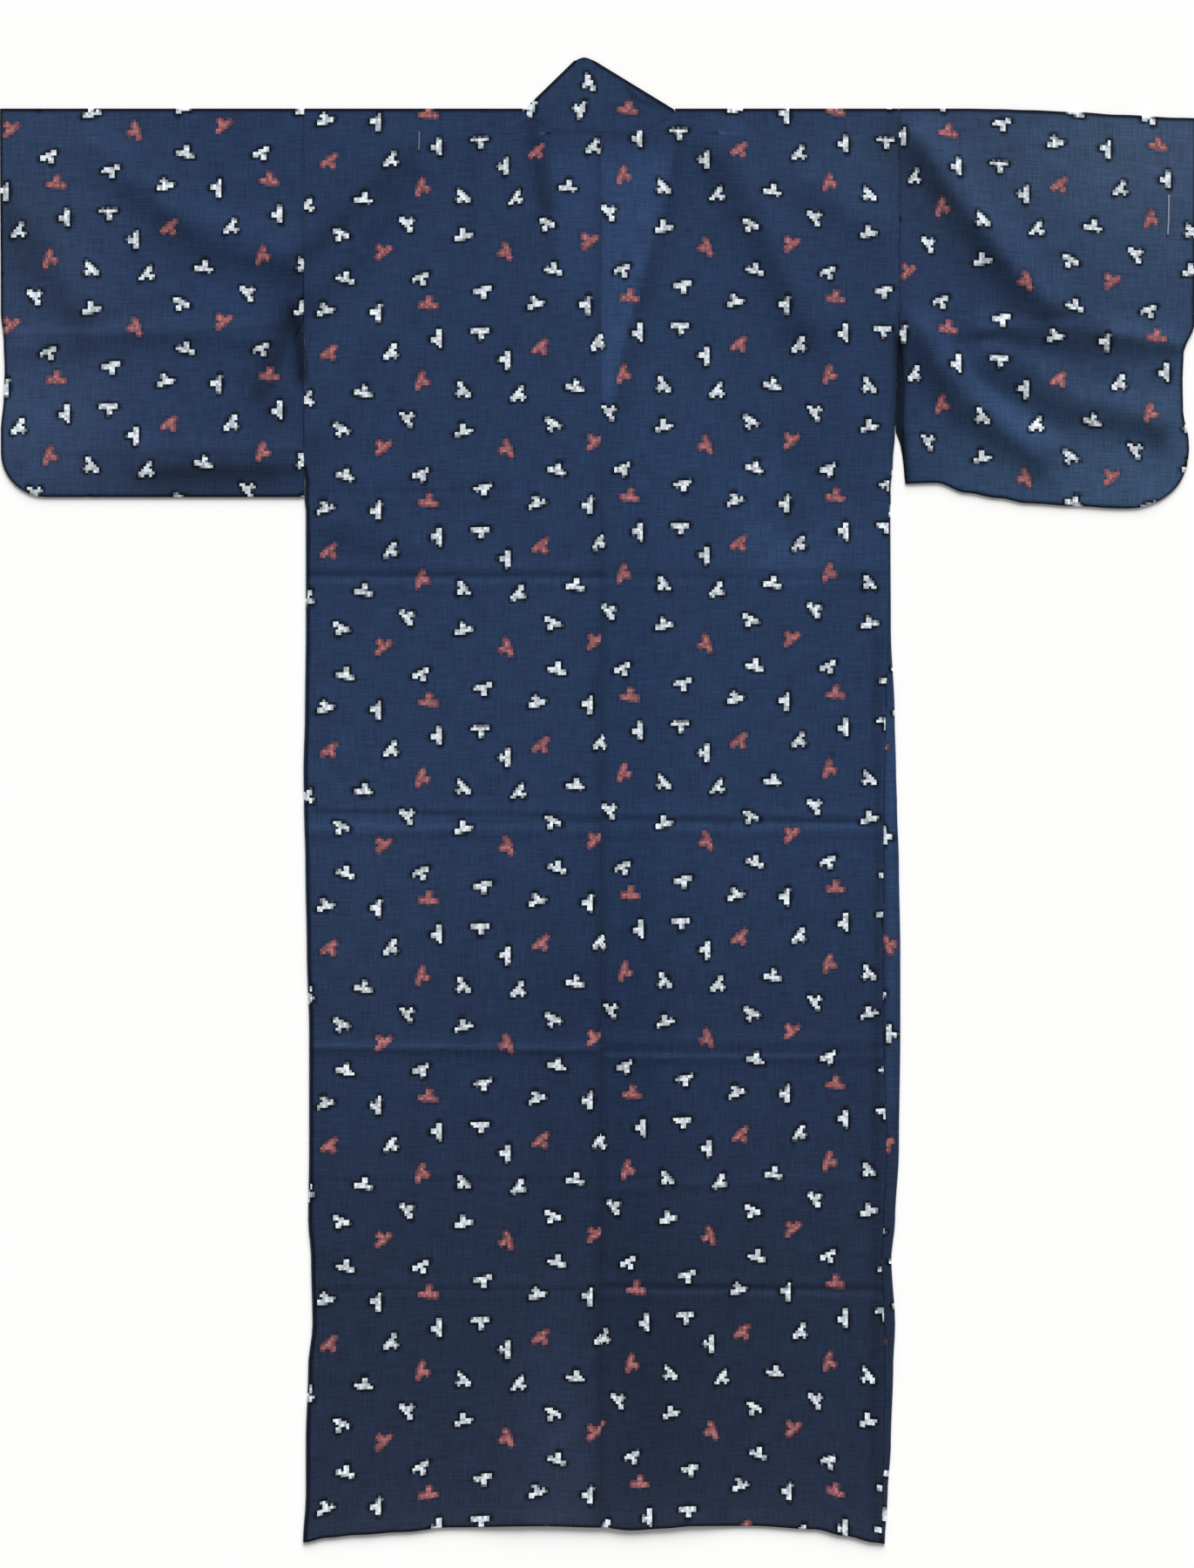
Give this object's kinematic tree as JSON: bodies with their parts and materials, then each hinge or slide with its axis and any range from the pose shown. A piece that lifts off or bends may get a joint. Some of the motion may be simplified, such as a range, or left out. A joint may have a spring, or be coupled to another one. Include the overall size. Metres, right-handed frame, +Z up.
{
  "type": "kimono",
  "caption": "Kimono of plain-woven cotton with a small scattered bird print, laid out flat with its back up, sleeves spread and collar folded under at the neck",
  "frame": {"origin": "on the surface that the kimono lies on, under the middle of its outline", "axes": "+X to the right of the picture, +Y from the hem to the collar, +Z up out of the back of the kimono"},
  "size_m": [1.266, 1.5728, 0.0109],
  "materials": {
    "body_cotton": "matt plain-woven cotton, indigo ground with small white and red birds",
    "sleeve_cotton": "matt plain-woven cotton, indigo ground with small white and red birds",
    "overlap_cotton": "matt plain-woven cotton, indigo ground with small white and red birds",
    "collar_cotton": "matt plain-woven cotton, indigo ground with small white and red birds"
  },
  "bodies": {
    "root": {"body_left": "body_cotton", "body_right": "body_cotton", "sleeve_left": "sleeve_cotton", "sleeve_right": "sleeve_cotton", "okumi_left": "overlap_cotton", "okumi_right": "overlap_cotton", "collar": "collar_cotton"}
  },
  "joints": []
}
